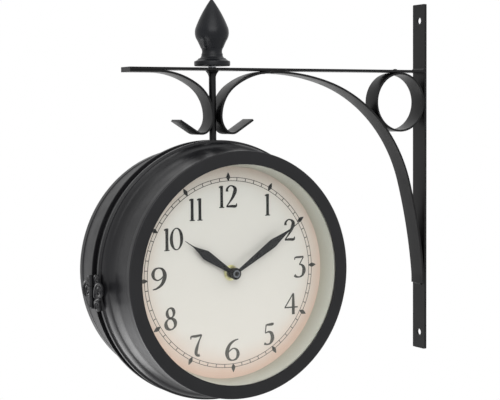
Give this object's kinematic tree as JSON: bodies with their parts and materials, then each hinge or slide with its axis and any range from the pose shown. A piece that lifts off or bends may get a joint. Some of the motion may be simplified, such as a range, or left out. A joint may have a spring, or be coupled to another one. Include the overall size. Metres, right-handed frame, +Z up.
{
  "type": "double sided station clock",
  "caption": "Round drum clock with a dial on each side, hung by a rod from a flat-iron wall bracket with scrolls, a ring and a spear finial; the drum swivels and opens.",
  "frame": {"origin": "middle of the two screw holes at the back face of the wall plate", "axes": "+Z up along the wall plate, +X into the wall, -Y toward a viewer of the front dial"},
  "size_m": [0.3574, 0.108, 0.3653],
  "materials": {
    "bracket_black": "satin black powder coat",
    "finial_black": "satin black paint on a casting",
    "case_black": "satin black powder coat",
    "clear_glass": "clear, polished",
    "pale_ring": "matte pale grey-green",
    "dial_print": "matte ivory enamel with black print",
    "brass": "turned, satin",
    "hand_black": "satin black",
    "zinc_steel": "zinc plated",
    "movement_black": "matte moulded",
    "gear_plastic": "matte moulded",
    "battery_sleeve": "glossy printed sleeve",
    "circuit_block": "matte"
  },
  "bodies": {
    "bracket": {"wall_plate": "bracket_black", "arm_bar": "bracket_black", "brace_strip": "bracket_black", "scroll_left": "bracket_black", "scroll_right": "bracket_black", "bracket_ring": "bracket_black", "weld_beads": "bracket_black", "ring_rivet": "bracket_black", "rod_tube": "bracket_black", "threaded_rod": "zinc_steel", "rod_nuts": "zinc_steel", "rod_washer": "zinc_steel", "finial": "finial_black"},
    "case": {"centre_band": "case_black", "swivel_bush": "brass", "hinge_leaf_rear": "case_black", "hinge_pin": "zinc_steel", "lock_lug_rear": "case_black", "rear_shell": "case_black", "rear_bezel": "case_black", "rear_glass": "clear_glass", "rear_reflector": "pale_ring", "rear_dial": "dial_print", "rear_backplate": "zinc_steel", "rear_posts": "zinc_steel", "rear_movement_housing": "movement_black", "rear_movement_cover": "movement_black", "rear_dial_nut": "brass", "rear_drive_unit": "circuit_block"},
    "door": {"hinge_leaf_front": "case_black", "lock_lug_front": "case_black", "front_shell": "case_black", "front_bezel": "case_black", "front_glass": "clear_glass", "front_reflector": "pale_ring", "front_dial": "dial_print", "front_backplate": "zinc_steel", "front_posts": "zinc_steel", "front_movement_housing": "movement_black", "front_movement_cover": "movement_black", "front_dial_nut": "brass", "front_drive_unit": "circuit_block"},
    "lock": {"lock_pin": "case_black"},
    "front_minutes": {"front_centre_wheel": "gear_plastic", "front_minute_hand": "hand_black", "front_hand_cap": "hand_black"},
    "front_hours": {"front_hour_wheel": "gear_plastic", "front_hour_hand": "hand_black"},
    "front_setting": {"front_minute_wheel": "gear_plastic", "front_setting_knob": "movement_black"},
    "front_cell": {"front_battery": "battery_sleeve"},
    "rear_minutes": {"rear_centre_wheel": "gear_plastic", "rear_minute_hand": "hand_black", "rear_hand_cap": "hand_black"},
    "rear_hours": {"rear_hour_wheel": "gear_plastic", "rear_hour_hand": "hand_black"},
    "rear_setting": {"rear_minute_wheel": "gear_plastic", "rear_setting_knob": "movement_black"},
    "rear_cell": {"rear_battery": "battery_sleeve"}
  },
  "joints": [
    {"name": "swivel", "type": "hinge", "parent": "bracket", "child": "case", "pos_m": [-0.2345, 0, 0], "axis": [0, 0, 1], "continuous": true},
    {"name": "door_hinge", "type": "hinge", "parent": "case", "child": "door", "pos_m": [-0.3554, 0, 0], "axis": [0, 0, -1], "range_deg": [0, 100]},
    {"name": "lock_pull", "type": "slide", "parent": "door", "child": "lock", "axis": [0, -1, 0], "range_m": [0, 0.004]},
    {"name": "front_minute_turn", "type": "hinge", "parent": "door", "child": "front_minutes", "pos_m": [-0.2345, 0, -0.0765], "axis": [0, 1, 0], "continuous": true},
    {"name": "front_hour_turn", "type": "hinge", "parent": "door", "child": "front_hours", "pos_m": [-0.2345, 0, -0.0765], "axis": [0, 1, 0], "continuous": true},
    {"name": "front_setting_turn", "type": "hinge", "parent": "door", "child": "front_setting", "pos_m": [-0.22411, 0, -0.0705], "axis": [0, 1, 0], "continuous": true},
    {"name": "front_battery_out", "type": "slide", "parent": "door", "child": "front_cell", "axis": [0, 1, 0], "range_m": [0, 0.014]},
    {"name": "rear_minute_turn", "type": "hinge", "parent": "case", "child": "rear_minutes", "pos_m": [-0.2345, 0, -0.0765], "axis": [0, -1, 0], "continuous": true},
    {"name": "rear_hour_turn", "type": "hinge", "parent": "case", "child": "rear_hours", "pos_m": [-0.2345, 0, -0.0765], "axis": [0, -1, 0], "continuous": true},
    {"name": "rear_setting_turn", "type": "hinge", "parent": "case", "child": "rear_setting", "pos_m": [-0.24489, 0, -0.0705], "axis": [0, -1, 0], "continuous": true},
    {"name": "rear_battery_out", "type": "slide", "parent": "case", "child": "rear_cell", "axis": [0, -1, 0], "range_m": [0, 0.014]}
  ],
  "couplings": [
    {"joint": "front_hour_turn", "follows": "front_minute_turn", "ratio": 0.083333},
    {"joint": "front_setting_turn", "follows": "front_minute_turn", "ratio": -0.33333},
    {"joint": "rear_hour_turn", "follows": "rear_minute_turn", "ratio": 0.083333},
    {"joint": "rear_setting_turn", "follows": "rear_minute_turn", "ratio": -0.33333}
  ]
}
